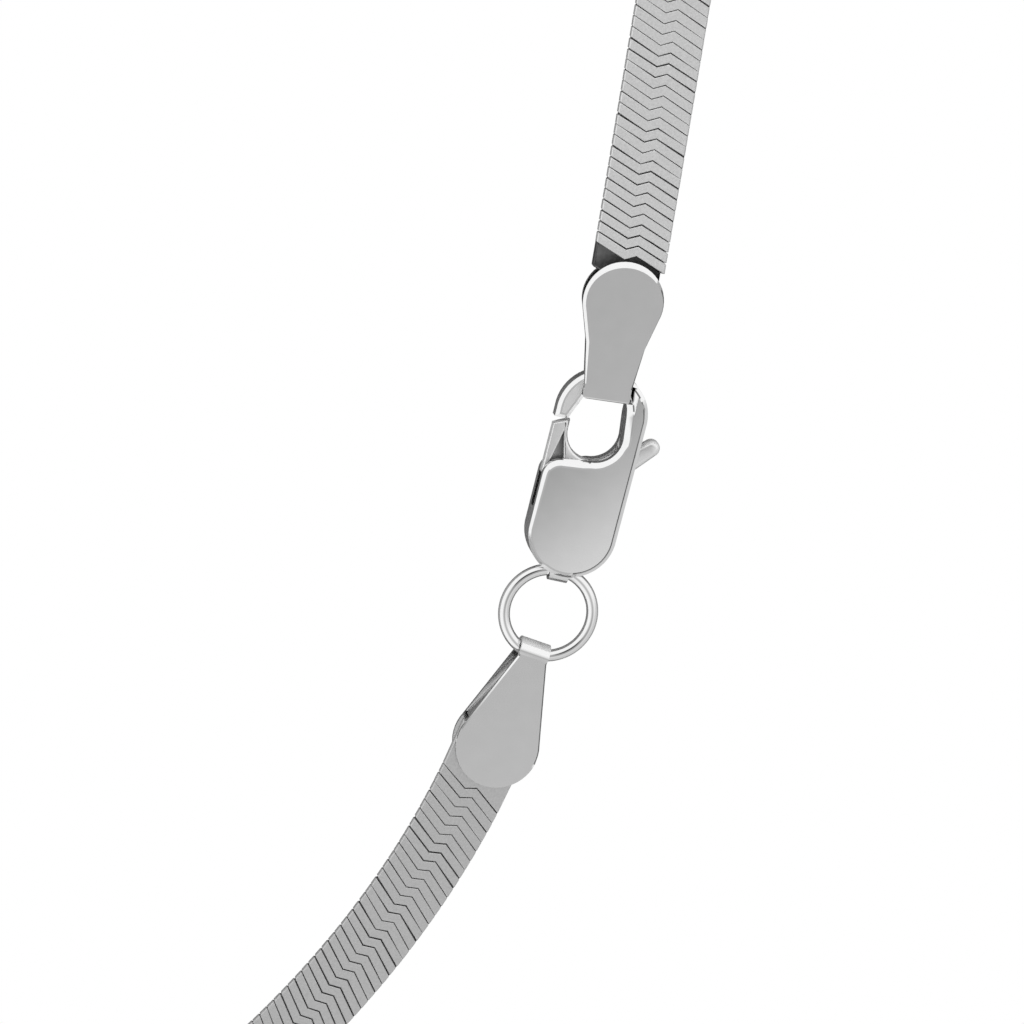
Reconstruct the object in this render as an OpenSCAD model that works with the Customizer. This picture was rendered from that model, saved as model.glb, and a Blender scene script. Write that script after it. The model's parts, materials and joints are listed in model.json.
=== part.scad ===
// Herringbone neck chain, closed, lying flat with its broad face up.
// Millimetres. Z is up from the surface. Y runs along the clasp from its tail to its hook.
// The origin is on the clasp's underside, at the centre of its round tail end.

/* [Chain] */
// Width of the woven band
chain_w = 5.0; // [3:0.1:7]
// Thickness of the woven band, both layers
chain_t = 1.3; // [1.1:0.05:1.35]
// Length of the straight stretch that starts in the upper cap
upper_run = 23; // [21:0.5:60]
// Radius of the bend that follows the straight stretch
back_bend_r = 56; // [50:1:70]
// Radius of the bend that ends in the lower cap
front_bend_r = 63.3; // [58:0.1:70]
// Distance along the upper cap from its fold to the end of the chain
upper_grip = 6.6; // [6.3:0.1:7]
// Distance along the lower cap from its fold to the end of the chain
lower_grip = 6.6; // [6.3:0.1:7.2]
// How far the chain sits off the lower cap's middle, to the inside of the loop
lower_shift = 0.35; // [0:0.05:0.5]
// How much further than the lower cap the chain's end is turned
lower_askew = 1; // [0:0.5:3]
// Length over which the chain settles from a cap down to the surface
settle_run = 24; // [15:1:60]

/* [Weave] */
// Slope of the links' two long arms, in degrees
arm_slope = 20.5; // [15:0.5:30]
// Slope of the short step between the arms, in degrees
step_slope = 23; // [15:0.5:35]
// Width of the short step in the middle of a link
step_w = 0.76; // [0.4:0.02:1.2]
// Distance along the upper cap from its fold to the middle of the front layer's end
front_end = 9.7; // [9.6:0.05:12]
// Thickness left of the back layer where the front layer has ended
back_layer_t = 0.55; // [0.4:0.05:0.6]

/* [Caps] */
// Thickness of the caps' sheet
sheet_t = 0.28; // [0.22:0.01:0.36]
// Half the width of the upper cap at its fold
upper_neck = 1.27; // [1.1:0.01:1.35]
// Half the width of the upper cap at its collar, just past the fold
upper_collar = 1.56; // [1.4:0.01:1.65]
// Distance from the fold to the collar
collar_y = 0.75; // [0.7:0.01:1]
// Half the width of the upper cap at its knee
upper_knee = 1.99; // [1.7:0.01:2.1]
// Distance from the fold to the upper cap's knee
upper_knee_y = 3.8; // [3:0.1:4.5]
// Radius of the upper cap's round head
upper_head_r = 2.72; // [2.6:0.01:2.9]
// Distance from the fold to the centre of the upper cap's head
upper_head_y = 6.76; // [6.4:0.02:7.2]
// How much narrower the upper cap's under flap is, each side
under_in = 0.2; // [0.05:0.01:0.3]
// Half the width of the lower cap at its fold
lower_neck = 1.02; // [0.8:0.01:1.1]
// Distance from the fold to the lower cap's knee
lower_knee_y = 1.18; // [1.1:0.01:2]
// Radius of the lower cap's round head
lower_head_r = 2.84; // [2.6:0.01:3]
// Distance from the fold to the centre of the lower cap's head
lower_head_y = 7.55; // [7:0.05:8]

/* [Clasp body] */
// Thickness of the clasp
clasp_t = 2.2; // [2.1:0.05:2.6]
// Radius of the clasp's round tail end
toe_r = 3.0; // [2.8:0.05:3.3]
// Outer radius of the hook
hook_r = 3.06; // [3:0.01:3.4]
// Distance from the tail end's centre to the hook's centre
hook_y = 8.2; // [8:0.05:9]
// Radius of the bulge where the shank meets the plates
shoulder_r = 3.05; // [3:0.05:3.4]
// Offset of the bulge's centre to the right
shoulder_x = 0; // [0:0.05:0.4]
// Distance from the hook's centre down to the bulge's centre
shoulder_drop = 2.2; // [1.5:0.1:3]
// Radius of the eye at its lower end
eye_r = 1.85; // [1.7:0.01:1.9]
// Offset of the eye's lower end to the right
eye_x = -0.09; // [-0.15:0.01:0.1]
// Distance from the hook's centre down to the centre of the eye's lower end
eye_drop = 1.35; // [1.2:0.05:1.6]
// Radius of the eye at its upper end
eye_top_r = 1.55; // [1.5:0.01:1.7]
// How much lower the plates' top is at the left than under the eye
plate_drop = 0.22; // [0.1:0.01:0.4]
// Distance from the hook's centre up to the centre of the eye's upper end
eye_rise = 0.5; // [0.4:0.05:0.6]
// Distance from the hook's centre down to the hook's tip
tip_drop = 0.72; // [0.5:0.01:0.9]
// Width of the hook's tip
tip_w = 0.8; // [0.7:0.05:1]
// Radius of the plates' upper left corner
corner_r = 1.2; // [0.5:0.05:1.3]
// Width of the ramp from the thin hook up to the full shank
ramp_w = 0.6; // [0.4:0.05:0.8]
// Angle of the ramp's foot to the upper cap's long axis
ramp_turn = 28; // [20:1:35]

/* [Lever] */
// Thickness of each plate of the clasp over the lever
plate_t = 0.67; // [0.55:0.01:0.75]
// Pivot's offset from the clasp's middle
pivot_x = -0.4; // [-0.6:0.05:0]
// Pivot's distance from the tail end's centre
pivot_y = 2.55; // [2.3:0.05:2.8]
// Radius of the hidden pin
pin_r = 0.5; // [0.4:0.02:0.6]
// Outer radius of the lever's hub
hub_r = 1.05; // [0.9:0.05:1.1]
// Distance from the pivot to the middle of the thumb tab's round end
thumb_reach = 5.95; // [5.8:0.05:6.5]
// Direction of the thumb tab from the pivot, in degrees
thumb_turn = 43.3; // [40:0.5:46]
// Radius of the thumb tab's round end
thumb_r = 0.57; // [0.45:0.01:0.65]
// Gap between the lever's tip and the corner of the hook's tip
tip_gap = 0.12; // [0.08:0.01:0.3]
// Depth of the hollow in the gate's face
hollow_depth = 0.3; // [0.15:0.05:0.4]
// Offset of the hollow's top from the clasp's middle
hollow_x = -2.17; // [-2.3:0.01:-2.1]
// Distance from the hook's tip down to the hollow's top
hollow_drop = 0.8; // [0.6:0.05:1.5]
// How far the hollow's left side leans out, for one along it
hollow_out = 0.2; // [0.1:0.01:0.22]
// How far the hollow's right side leans in, for one along it
hollow_in = 0.22; // [0.1:0.01:0.25]

/* [Ring] */
// Radius of the jump ring to the middle of its wire
ring_r = 2.99; // [2.8:0.01:3.2]
// Radius of the jump ring's wire
wire_r = 0.4; // [0.35:0.01:0.42]
// Width of the tail lug that holds the ring
lug_w = 1.3; // [1:0.05:1.6]
// Wall of the tail lug round the wire
lug_wall = 0.22; // [0.18:0.01:0.3]

/* [Lie] */
// Turn of the upper cap from the clasp's axis, in degrees
upper_turn = 3.9; // [3:0.1:6]
// How much further than the upper cap the chain's start is turned
upper_askew = 0.6; // [0:0.1:1.5]
// Upper cap's offset from the clasp's middle
upper_x = -0.07; // [-0.2:0.01:0]
// Distance from the tail end's centre to the upper cap's fold
upper_y = 9.26; // [9.15:0.01:9.4]
// Turn of the lower cap from the clasp's axis, in degrees
lower_turn = 7.6; // [6:0.1:9]
// Ring's offset from the clasp's middle
ring_x = -0.13; // [-0.2:0.01:0.2]
// How far the ring's wire sits inside the clasp's tail end
ring_inset = 0.16; // [0.1:0.01:0.25]

/* [Gaps] */
// Gap between the chain and the cap's sheet on each side
grip_gap = 0.07; // [0.05:0.01:0.1]
// Gap between the wire and what it is threaded through
wire_gap = 0.1; // [0.08:0.01:0.15]
// Gap between the hook and the cap that hangs on it
hang_gap = 0.1; // [0.08:0.01:0.15]
// Gap between the lever and each plate
lever_gap = 0.05; // [0.03:0.01:0.08]
// Radial gap between the lever and its pin
pin_gap = 0.05; // [0.03:0.01:0.08]

/* [Hidden] */
$fn = 64;
far = 60;
bend_step = 3;
run_step = 3;
hair = 0.004;
through = 1;
mid_z = clasp_t / 2;

// Cap folds: room inside is the chain and a gap on each side
fold_r = chain_t / 2 + grip_gap + sheet_t;
fold_in_r = fold_r - sheet_t;
cap_z = mid_z - fold_r;

// Clasp outline
hook_c = [0, hook_y];
toe_c = [0, 0];
shoulder_c = [shoulder_x, hook_y - shoulder_drop];
eye_c = [eye_x, hook_y - eye_drop];
eye_top_c = [0, hook_y + eye_rise];
eye_bottom = eye_c[1] - eye_r;
eye_left = eye_c[0] - eye_r;
plate_top = eye_bottom - plate_drop;
tip_y = hook_y - tip_drop;
tip_out_x = -sqrt(hook_r * hook_r - tip_drop * tip_drop);
tip_in = [tip_out_x + tip_w, tip_y];

// The hook is thin enough to pass through the cap's fold with a gap above and below
hook_t = 2 * (fold_in_r - 1.5 * hang_gap);
hook_half = hook_t / 2;
seat_y = fold_r - sqrt(fold_in_r * fold_in_r - hook_half * hook_half) + hang_gap;
seat_half = upper_neck + hang_gap;
seat_top_half = upper_collar + hang_gap;
ramp_foot_x = upper_neck + hang_gap;

// Lever
pivot = [pivot_x, pivot_y];
slot_t = clasp_t - 2 * plate_t;
lever_t = slot_t - 2 * lever_gap;
lever_z = mid_z - lever_t / 2;
slot_floor = pivot_y - hub_r - 3 * wire_gap;
thumb_c = pivot + thumb_reach * [cos(thumb_turn), sin(thumb_turn)];
gate_r = norm(tip_in - pivot) - tip_gap;

// Ring and tail lug
bore_r = wire_r + wire_gap;
lug_y = -toe_r + ring_inset;
lug_sag = ring_r - sqrt(ring_r * ring_r - lug_w * lug_w / 4);
ring_c = [ring_x, lug_y + lug_sag / 2 - ring_r];
neck_sag = ring_r - sqrt(ring_r * ring_r - lower_neck * lower_neck);
ring_in_fold = sheet_t + wire_r + wire_gap / 2 + neck_sag;

// Where the caps lie
lower_dir = [-sin(lower_turn), -cos(lower_turn)];
lower_side = [-cos(lower_turn), sin(lower_turn)];
lower_at = ring_c + (ring_r - ring_in_fold) * lower_dir;
upper_at = [upper_x, upper_y];
upper_dir = [-sin(upper_turn), cos(upper_turn)];
start_turn = upper_turn + upper_askew;
start_dir = [-sin(start_turn), cos(start_turn)];

// Route of the chain: straight, bend, straight, bend, always turning to the left
start_p = upper_at + upper_grip * upper_dir;
bend1_p = start_p + upper_run * start_dir;
bend1_c = bend1_p + back_bend_r * [-start_dir[1], start_dir[0]];
end_turn = lower_turn + lower_askew;
end_p = lower_at + lower_grip * lower_dir + lower_shift * lower_side;
bend2_c = end_p + front_bend_r * [-cos(end_turn), sin(end_turn)];
between = bend2_c - bend1_c;
run_dir = atan2(between[1], between[0]) + asin((back_bend_r - front_bend_r) / norm(between));
back_run = sqrt(between * between - pow(back_bend_r - front_bend_r, 2));
bend1_from = start_turn;
bend1_sweep = full_turn(run_dir - 90 - bend1_from);
bend2_from = run_dir - 90;
bend2_sweep = full_turn(-end_turn - bend2_from);
run_p = bend1_c + back_bend_r * [sin(run_dir), -cos(run_dir)];
chain_length = upper_run + back_run + (back_bend_r * bend1_sweep + front_bend_r * bend2_sweep) * PI / 180;

// The chain leaves the caps above the surface and settles on it
chain_lift = mid_z - chain_t / 2;
level_run = upper_head_y + upper_head_r - upper_grip;

// Herringbone line across the band, from its left edge to its right edge
step_rise = step_w * tan(step_slope);
arm_drop = (chain_w - step_w / 2) * tan(arm_slope);

function full_turn(a) = a - 360 * floor(a / 360);

// Points where a tangent to two circles touches them, a hair inside, on the side given by 1 or -1
function touch(c, r, p, q, side) =
    let (v = q[0] - p[0], d = norm(v), turn = atan2(v[1], v[0]) + side * acos((p[1] - q[1]) / d))
    c + (r - hair) * [cos(turn), sin(turn)];

// Two round ends and the straight sides that touch both
module link_2d(c1, r1, c2, r2) {
    p = [c1, r1];
    q = [c2, r2];
    translate(c1) circle(r = r1);
    translate(c2) circle(r = r2);
    polygon([touch(c1, r1, p, q, 1), touch(c2, r2, p, q, 1), touch(c2, r2, p, q, -1), touch(c1, r1, p, q, -1)]);
}

// Point where the tangent from a point touches a circle centred on the Y axis
function tangent_x(p, cy, r) =
    let (v = [-p[0], cy - p[1]], d = norm(v), turn = atan2(v[1], v[0]) - asin(r / d))
    p + sqrt(d * d - r * r) * [cos(turn), sin(turn)];

// Spoon shape of a cap seen from above, fold at the origin and head up Y
module spoon_2d(neck, collar, collar_at, knee, knee_y, head_r, head_y) {
    t = tangent_x([knee, knee_y], head_y, head_r - hair);
    translate([0, head_y]) circle(r = head_r);
    polygon([
        [-neck, 0], [neck, 0], [collar, collar_at], [knee, knee_y], t,
        [0, head_y], [-t[0], t[1]], [-knee, knee_y], [-collar, collar_at]
    ]);
}

// Sheet folded over a round, seen from its side
module fold_2d(len) {
    difference() {
        union() {
            translate([fold_r, fold_r]) circle(r = fold_r);
            translate([fold_r, 0]) square([len, 2 * fold_r]);
        }
        translate([fold_r, fold_r]) circle(r = fold_in_r);
        translate([fold_r, sheet_t]) square([2 * len, 2 * fold_in_r]);
    }
}

// Where a cap's folded sheet is, over the whole width
module folded(len) {
    rotate([90, 0, 90]) translate([0, 0, -far / 2]) linear_extrude(far) fold_2d(len);
}

module at_upper() {
    translate([upper_at[0], upper_at[1], cap_z]) rotate(upper_turn) children();
}

module at_lower() {
    translate([lower_at[0], lower_at[1], cap_z]) rotate(180 - lower_turn) children();
}

// The upper cap's under flap is narrower than its top flap
module end_cap_upper() {
    color([0.78, 0.78, 0.79])
    at_upper() intersection() {
        folded(upper_head_y + upper_head_r);
        union() {
            translate([0, 0, fold_r]) linear_extrude(fold_r)
            spoon_2d(upper_neck, upper_collar, collar_y, upper_knee, upper_knee_y, upper_head_r, upper_head_y);
            linear_extrude(fold_r) spoon_2d(
                upper_neck, upper_collar - under_in, collar_y, upper_knee - under_in, upper_knee_y,
                upper_head_r - under_in, upper_head_y
            );
        }
    }
}

module end_cap_lower() {
    color([0.78, 0.78, 0.79])
    at_lower() intersection() {
        folded(lower_head_y + lower_head_r);
        linear_extrude(2 * fold_r)
        spoon_2d(lower_neck, lower_neck, lower_knee_y / 2, lower_neck, lower_knee_y, lower_head_r, lower_head_y);
    }
}

// Section of the band: flat faces and round edges, offset from the middle of its underside
edge_turns = [-90, -45, 0, 45, 90];
function edge_point(side, turn) =
    [side * ((chain_w - chain_t) / 2 + cos(turn) * chain_t / 2), (1 + sin(turn)) * chain_t / 2];
band_section = concat(
    [for (turn = edge_turns) edge_point(1, turn)],
    [for (i = [len(edge_turns) - 1 : -1 : 0]) edge_point(-1, edge_turns[i])]
);

// Distances along the chain at which the section is placed
bend1_len = back_bend_r * bend1_sweep * PI / 180;
bend2_len = front_bend_r * bend2_sweep * PI / 180;
bend1_steps = ceil(bend1_sweep / bend_step);
bend2_steps = ceil(bend2_sweep / bend_step);
run_steps = ceil(upper_run / run_step);
stations = concat(
    [for (i = [0 : run_steps - 1]) upper_run * i / run_steps],
    [for (i = [0 : bend1_steps]) upper_run + bend1_len * i / bend1_steps],
    [for (i = [0 : bend2_steps]) upper_run + bend1_len + back_run + bend2_len * i / bend2_steps]
);

// Turn of the band's outer side, and the middle of the band, at a distance along the chain
function turn_at(s) =
    s < upper_run + bend1_len
    ? bend1_from + max(0, s - upper_run) / back_bend_r * 180 / PI
    : bend2_from + max(0, s - upper_run - bend1_len - back_run) / front_bend_r * 180 / PI;
function middle_at(s) =
    s < upper_run ? start_p + s * start_dir
    : s < upper_run + bend1_len ? bend1_c + back_bend_r * [cos(turn_at(s)), sin(turn_at(s))]
    : s < upper_run + bend1_len + back_run
    ? run_p + (s - upper_run - bend1_len) * [cos(run_dir), sin(run_dir)]
    : bend2_c + front_bend_r * [cos(turn_at(s)), sin(turn_at(s))];
function ease(t) = t * t * (3 - 2 * t);
function lift_at(s) =
    chain_lift * ease(max(0, min(1, 1 - (min(s, chain_length - s) - level_run) / settle_run)));
function section_at(s) =
    let (m = middle_at(s), a = turn_at(s), z = lift_at(s))
    [for (p = band_section) [m[0] + p[0] * cos(a), m[1] + p[0] * sin(a), z + p[1]]];

module band() {
    n = len(band_section);
    last = len(stations) - 1;
    polyhedron(
        points = [for (s = stations) each section_at(s)],
        faces = concat(
            [[for (i = [n - 1 : -1 : 0]) i]],
            [for (j = [0 : last - 1]) for (i = [0 : n - 1])
                [j * n + i, j * n + (i + 1) % n, (j + 1) * n + (i + 1) % n, (j + 1) * n + i]],
            [[for (i = [0 : n - 1]) last * n + i]]
        )
    );
}

// Space over the back layer, beyond the end of the front layer's last link
module front_gone() {
    translate([upper_at[0], upper_at[1], chain_lift + back_layer_t]) rotate(upper_turn) linear_extrude(far)
    polygon([
        [-chain_w, front_end - step_rise / 2 + arm_drop],
        [-step_w / 2, front_end - step_rise / 2],
        [step_w / 2, front_end + step_rise / 2],
        [chain_w, front_end + step_rise / 2 - arm_drop],
        [chain_w, 0],
        [-chain_w, 0]
    ]);
}

module chain_band() {
    color([0.72, 0.72, 0.73])
    difference() {
        band();
        front_gone();
    }
}

// Opening of the hook: two round ends, and a straight inner side at the left of the hook
module eye_2d() {
    link_2d(eye_c, eye_r, eye_top_c, eye_top_r);
    polygon([tip_in, upper_at - [seat_half, 0], upper_at, [eye_c[0], tip_y]]);
}

// Room for the gate, left of the eye: its floor rises a little to the bottom of the eye
module gate_room_2d() {
    polygon([
        [-far, plate_top], [eye_left, plate_top], [eye_c[0], eye_bottom + hair], [eye_c[0], tip_y], [-far, tip_y]
    ]);
}

// Clasp seen from above, hook and plates in one outline
module clasp_2d() {
    difference() {
        union() {
            link_2d(toe_c, toe_r, shoulder_c, shoulder_r);
            link_2d(shoulder_c, shoulder_r, hook_c, hook_r);
        }
        eye_2d();
        gate_room_2d();
        // Straight left side, and round corner where it meets the plates' top
        translate([-toe_r - far, toe_c[1]]) square([far, tip_y]);
        difference() {
            translate([-toe_r, plate_top - corner_r]) square(corner_r);
            translate([-toe_r + corner_r, plate_top - corner_r]) circle(r = corner_r);
        }
    }
}

// Where the clasp has its full thickness: the plates and the shank, with a ramp down to the hook
module full_part() {
    translate([-far / 2, -far / 2, 0]) cube([far, far / 2 + plate_top, clasp_t]);
    translate([upper_at[0], upper_at[1], 0]) rotate(upper_turn)
    translate([ramp_foot_x, 0, 0]) rotate([90, 0, -ramp_turn])
    translate([0, 0, -far / 2]) linear_extrude(far) polygon([
        [0, mid_z - hook_half], [ramp_w, 0], [far, 0],
        [far, clasp_t], [ramp_w, clasp_t], [0, mid_z + hook_half]
    ]);
}

// Middle layer that the lever turns in, open at the left, at the right and into the eye
module slot_2d() {
    translate([-far, slot_floor]) square([far + eye_c[0] + eye_r, eye_c[1] - slot_floor]);
    intersection() {
        translate([-far, slot_floor]) square(2 * far);
        translate(pivot) rotate(thumb_turn) translate([0, -far]) square([far, far + hub_r + wire_gap]);
    }
}

module tail_lug() {
    wall_r = bore_r + lug_wall;
    translate([ring_x - lug_w / 2, lug_y, mid_z]) rotate([0, 90, 0]) cylinder(r = wall_r, h = lug_w);
    translate([ring_x - lug_w / 2, lug_y, mid_z - wall_r]) cube([lug_w, 2 * wall_r, 2 * wall_r]);
}

module clasp_body() {
    color([0.8, 0.8, 0.81])
    difference() {
        union() {
            difference() {
                intersection() {
                    linear_extrude(clasp_t) clasp_2d();
                    union() {
                        translate([-far / 2, -far / 2, mid_z - hook_half]) cube([far, far, hook_t]);
                        full_part();
                    }
                }
                translate([0, 0, plate_t]) linear_extrude(slot_t) slot_2d();
                // Room for the ring between the plates
                translate([-far / 2, lug_y - far, mid_z - bore_r]) cube([far, far + bore_r, 2 * bore_r]);
                // Straight seat for the cap that hangs on the hook
                translate([upper_at[0], upper_at[1], -through]) rotate(upper_turn)
                linear_extrude(clasp_t + 2 * through) polygon([
                    [-seat_half, -hang_gap], [seat_half, -hang_gap],
                    [seat_top_half, seat_y], [-seat_top_half, seat_y]
                ]);
            }
            tail_lug();
            translate([pivot[0], pivot[1], plate_t / 2]) cylinder(r = pin_r, h = clasp_t - plate_t);
        }
        translate([-far / 2, lug_y, mid_z]) rotate([0, 90, 0]) cylinder(r = bore_r, h = far);
    }
}

// Gate of the lever seen from above, without its hub
module gate_2d() {
    difference() {
        intersection() {
            translate(pivot) circle(r = gate_r);
            polygon([
                [-toe_r, plate_top - corner_r], [-toe_r, tip_y], [eye_left, tip_y], [eye_left, eye_c[1]],
                [eye_c[0], eye_c[1]], [eye_c[0], pivot_y], [pivot_x - hub_r, pivot_y]
            ]);
        }
        translate(eye_c) circle(r = eye_r);
    }
}

// Three-cornered hollow in the gate's face, running on under the plate
module gate_hollow_2d() {
    depth = tip_y - hollow_drop - pivot_y - hub_r;
    translate([hollow_x, tip_y - hollow_drop])
    polygon([[0, 0], [hollow_in * depth, -depth], [-hollow_out * depth, -depth]]);
}

module clasp_lever() {
    color([0.74, 0.74, 0.75])
    difference() {
        union() {
            translate([0, 0, lever_z]) linear_extrude(lever_t) link_2d(pivot, hub_r, thumb_c, thumb_r);
            translate([0, 0, lever_z]) linear_extrude(lever_t) gate_2d();
        }
        translate([eye_c[0], eye_c[1], 0]) cylinder(r = eye_r, h = clasp_t);
        translate([pivot[0], pivot[1], 0]) cylinder(r = pin_r + pin_gap, h = clasp_t);
        translate([0, 0, lever_z + lever_t - hollow_depth]) linear_extrude(lever_t) gate_hollow_2d();
    }
}

module jump_ring() {
    color([0.78, 0.78, 0.79])
    translate([ring_c[0], ring_c[1], mid_z]) rotate_extrude() translate([ring_r, 0]) circle(r = wire_r);
}

chain_band();
end_cap_upper();
end_cap_lower();
clasp_body();
clasp_lever();
jump_ring();
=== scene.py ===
import json
import math
import random
import bpy
from mathutils import Matrix, Vector

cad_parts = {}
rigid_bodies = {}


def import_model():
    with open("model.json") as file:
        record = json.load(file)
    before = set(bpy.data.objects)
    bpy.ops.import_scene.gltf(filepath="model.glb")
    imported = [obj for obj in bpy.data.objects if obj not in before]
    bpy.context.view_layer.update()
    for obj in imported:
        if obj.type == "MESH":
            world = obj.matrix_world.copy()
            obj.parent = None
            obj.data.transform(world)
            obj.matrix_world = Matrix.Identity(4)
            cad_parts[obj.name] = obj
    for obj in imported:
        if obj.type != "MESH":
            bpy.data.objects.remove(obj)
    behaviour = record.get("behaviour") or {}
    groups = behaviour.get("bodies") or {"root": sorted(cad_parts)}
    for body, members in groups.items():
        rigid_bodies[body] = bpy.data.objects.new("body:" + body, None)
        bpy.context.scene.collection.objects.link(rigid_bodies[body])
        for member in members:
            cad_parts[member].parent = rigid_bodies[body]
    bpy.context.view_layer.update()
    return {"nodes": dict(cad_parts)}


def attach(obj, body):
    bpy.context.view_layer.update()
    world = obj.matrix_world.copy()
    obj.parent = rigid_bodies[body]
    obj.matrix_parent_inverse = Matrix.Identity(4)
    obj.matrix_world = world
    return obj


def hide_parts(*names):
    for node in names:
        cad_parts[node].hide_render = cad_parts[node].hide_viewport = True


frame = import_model()
mm = 0.001
hair = 0.001  # in mm, what is closer than this is the same place
dimSide = (0.7, -0.7)  # the light is dimmer on this side, the picture's lower right


def makeCamera():
    # it looks down on the clasp, tipped to the left and to the top of the picture
    view = {"tiltLeft": 8, "tiltUp": 14, "turn": 14, "distance": 400 * mm,
            "aim": (-4.20 * mm, 0.42 * mm, 1.1 * mm), "pixelsPerMetre": 15000, "picture": 1024,
            "sensor": 36, "clip": 0.01}
    tip = Vector((-math.tan(math.radians(view["tiltLeft"])),
                  math.tan(math.radians(view["tiltUp"])), 1)).normalized()
    right = Vector((0, 1, 0)).cross(tip).normalized()
    up = tip.cross(right)
    turn = Matrix.Rotation(math.radians(view["turn"]), 3, "Z")
    axes = Matrix((turn @ right, turn @ up, turn @ tip)).transposed()
    place = Vector(view["aim"]) + turn @ tip * view["distance"]
    data = bpy.data.cameras.new("photoCamera")
    data.sensor_width = view["sensor"]
    data.lens = view["pixelsPerMetre"] * view["distance"] / view["picture"] * view["sensor"]
    data.clip_start = view["clip"]
    camera = bpy.data.objects.new("photoCamera", data)
    bpy.context.collection.objects.link(camera)
    camera.matrix_world = Matrix.Translation(place) @ axes.to_4x4()
    bpy.context.scene.camera = camera
    print("camera done, at", [round(v, 4) for v in place])


makeCamera()


# selecting, joining and placing
def clearSelection():
    if bpy.context.mode != "OBJECT":
        bpy.ops.object.mode_set(mode="OBJECT")
    bpy.ops.object.select_all(action="DESELECT")


def pick(*pieces):
    clearSelection()
    for piece in pieces:
        piece.select_set(True)
    bpy.context.view_layer.objects.active = pieces[0]


def clearPoints(piece):
    pick(piece)
    bpy.ops.object.mode_set(mode="EDIT")
    bpy.ops.mesh.select_all(action="DESELECT")
    bpy.ops.object.mode_set(mode="OBJECT")


def selectEdges(piece, wanted):
    # leaves edit mode on, with the edges selected whose two ends fit
    clearPoints(piece)
    spots = piece.data.vertices
    for edge in piece.data.edges:
        edge.select = wanted(spots[edge.vertices[0]].co, spots[edge.vertices[1]].co)
    bpy.ops.object.mode_set(mode="EDIT")


def rimKeys(piece):
    # the open edges of a sheet, before it gets its wall
    used = [key for face in piece.data.polygons for key in face.edge_keys]
    return {key for key in used if used.count(key) == 1}


def movePoints(piece, indices, move):
    clearPoints(piece)
    for i in indices:
        piece.data.vertices[i].select = True
    bpy.ops.object.mode_set(mode="EDIT")
    bpy.ops.transform.translate(value=[v * mm for v in move])
    bpy.ops.object.mode_set(mode="OBJECT")


def applyAll(piece):
    pick(piece)
    for modifier in list(piece.modifiers):
        bpy.ops.object.modifier_apply(modifier=modifier.name)


def placeInMesh(piece):
    pick(piece)
    bpy.ops.object.transform_apply(location=True, rotation=True, scale=True)


def placeAlong(piece, at, turn, move):
    # moves a piece, turns it about the upright axis and sets it down, all in its mesh
    pick(piece)
    bpy.ops.object.mode_set(mode="EDIT")
    bpy.ops.mesh.select_all(action="SELECT")
    bpy.ops.transform.translate(value=[v * mm for v in move])
    bpy.ops.object.mode_set(mode="OBJECT")
    piece.rotation_euler.z = math.radians(turn)
    piece.location = (at[0] * mm, at[1] * mm, 0)
    placeInMesh(piece)


def copyPiece(piece):
    pick(piece)
    bpy.ops.object.duplicate()
    return bpy.context.object


def joinPieces(pieces, name):
    pick(*pieces)
    bpy.ops.object.join()
    whole = bpy.context.object
    whole.name = name
    return whole


# finishes
def newMaterial(name):
    material = bpy.data.materials.new(name)
    material.use_nodes = True
    return material, material.node_tree.nodes, material.node_tree.links


def makeGrainGroup():
    # the fine grain that every silver finish shares: a tone, a roughness and a height in metres
    group = bpy.data.node_groups.new("silverGrain", "ShaderNodeTree")
    sockets = group.interface
    for name in ("Scale", "Dark", "Light", "Rough Low", "Rough High", "Depth"):
        sockets.new_socket(name=name, in_out="INPUT", socket_type="NodeSocketFloat")
    sockets.new_socket(name="Vector", in_out="INPUT", socket_type="NodeSocketVector")
    sockets.new_socket(name="Tone", in_out="OUTPUT", socket_type="NodeSocketColor")
    sockets.new_socket(name="Roughness", in_out="OUTPUT", socket_type="NodeSocketFloat")
    sockets.new_socket(name="Height", in_out="OUTPUT", socket_type="NodeSocketFloat")
    nodes, wires = group.nodes, group.links
    given, result = nodes.new("NodeGroupInput"), nodes.new("NodeGroupOutput")
    grain = nodes.new("ShaderNodeTexNoise")
    grain.inputs["Detail"].default_value = 3
    wires.new(given.outputs["Vector"], grain.inputs["Vector"])
    wires.new(given.outputs["Scale"], grain.inputs["Scale"])
    for low, high, target in (("Dark", "Light", "Tone"), ("Rough Low", "Rough High", "Roughness")):
        spread = nodes.new("ShaderNodeMapRange")
        wires.new(grain.outputs["Fac"], spread.inputs["Value"])
        wires.new(given.outputs[low], spread.inputs["To Min"])
        wires.new(given.outputs[high], spread.inputs["To Max"])
        wires.new(spread.outputs["Result"], result.inputs[target])
    tall = nodes.new("ShaderNodeMath")
    tall.operation = "MULTIPLY"
    wires.new(grain.outputs["Fac"], tall.inputs[0])
    wires.new(given.outputs["Depth"], tall.inputs[1])
    wires.new(tall.outputs[0], result.inputs["Height"])
    return group


silverGrain = makeGrainGroup()


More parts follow.
